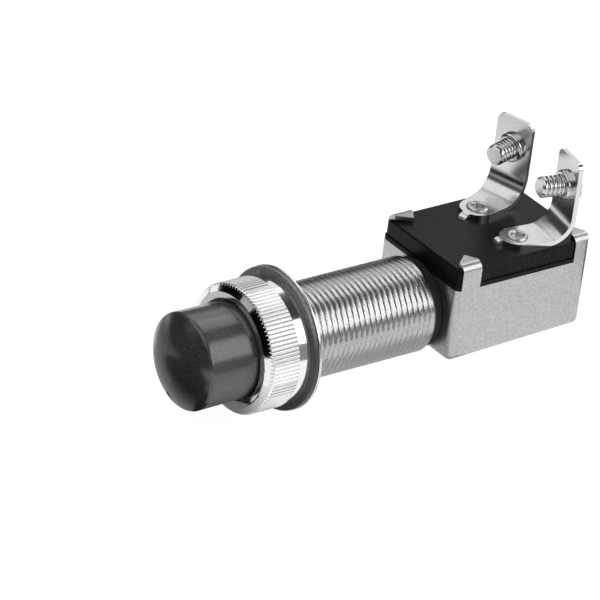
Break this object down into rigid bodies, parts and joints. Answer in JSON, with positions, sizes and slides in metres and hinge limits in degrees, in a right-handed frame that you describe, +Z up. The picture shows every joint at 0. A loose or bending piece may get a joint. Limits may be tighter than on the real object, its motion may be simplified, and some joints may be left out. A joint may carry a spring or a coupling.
{
  "type": "panel-mount momentary push button switch",
  "caption": "Panel-mount momentary push button switch: domed rubber boot in a knurled bezel nut, fine-threaded barrel, sheet-metal case and screw terminals on a moulded board.",
  "frame": {"origin": "on the barrel's axis at the panel seat, the rear face of the washer", "axes": "+Y along the barrel from the button to the case, +Z up to the screw terminals, +X to the right seen from the button"},
  "size_m": [0.0237, 0.0757, 0.0366],
  "materials": {
    "barrel_plate": "bright nickel plate on a turned brass barrel, lightly grained",
    "bezel_chrome": "bright chrome plate with straight knurling",
    "gasket_rubber": "smooth black rubber with a soft sheen",
    "washer_plate": "bright plated steel washer",
    "fibre_black": "dark pressed fibre",
    "case_plate": "satin zinc plate on drawn sheet steel",
    "board_moulding": "black phenolic moulding, polished by the mould",
    "rivet_plate": "bright plated rivet",
    "terminal_plate": "bright nickel plate on stamped sheet",
    "screw_plate": "bright plated machine screw",
    "boot_rubber": "matt dark moulded rubber",
    "plunger_brass": "turned brass",
    "spring_wire": "plain spring wire",
    "carrier_moulding": "dark moulded carrier",
    "bridge_metal": "stamped contact strip",
    "clip_steel": "stamped spring steel"
  },
  "bodies": {
    "switch_body": {"threaded_barrel": "barrel_plate", "bezel_nut": "bezel_chrome", "panel_gasket": "gasket_rubber", "panel_washer": "washer_plate", "barrel_washer": "fibre_black", "switch_case": "case_plate", "terminal_board": "board_moulding", "contact_rivet_left": "rivet_plate", "contact_rivet_right": "rivet_plate", "terminal_left": "terminal_plate", "terminal_right": "terminal_plate", "terminal_screw_left": "screw_plate", "terminal_screw_right": "screw_plate", "return_spring": "spring_wire"},
    "button": {"rubber_boot": "boot_rubber", "plunger": "plunger_brass", "stop_washer": "fibre_black", "contact_carrier": "carrier_moulding", "contact_bridge": "bridge_metal", "contact_spring": "spring_wire", "retaining_clip": "clip_steel"}
  },
  "joints": [
    {"name": "button_press", "type": "slide", "parent": "switch_body", "child": "button", "axis": [0, 1, 0], "range_m": [0, 0.0035], "stiffness_N_per_m": 800, "springref_m": -0.004, "deforming": ["return_spring", "rubber_boot"]}
  ]
}
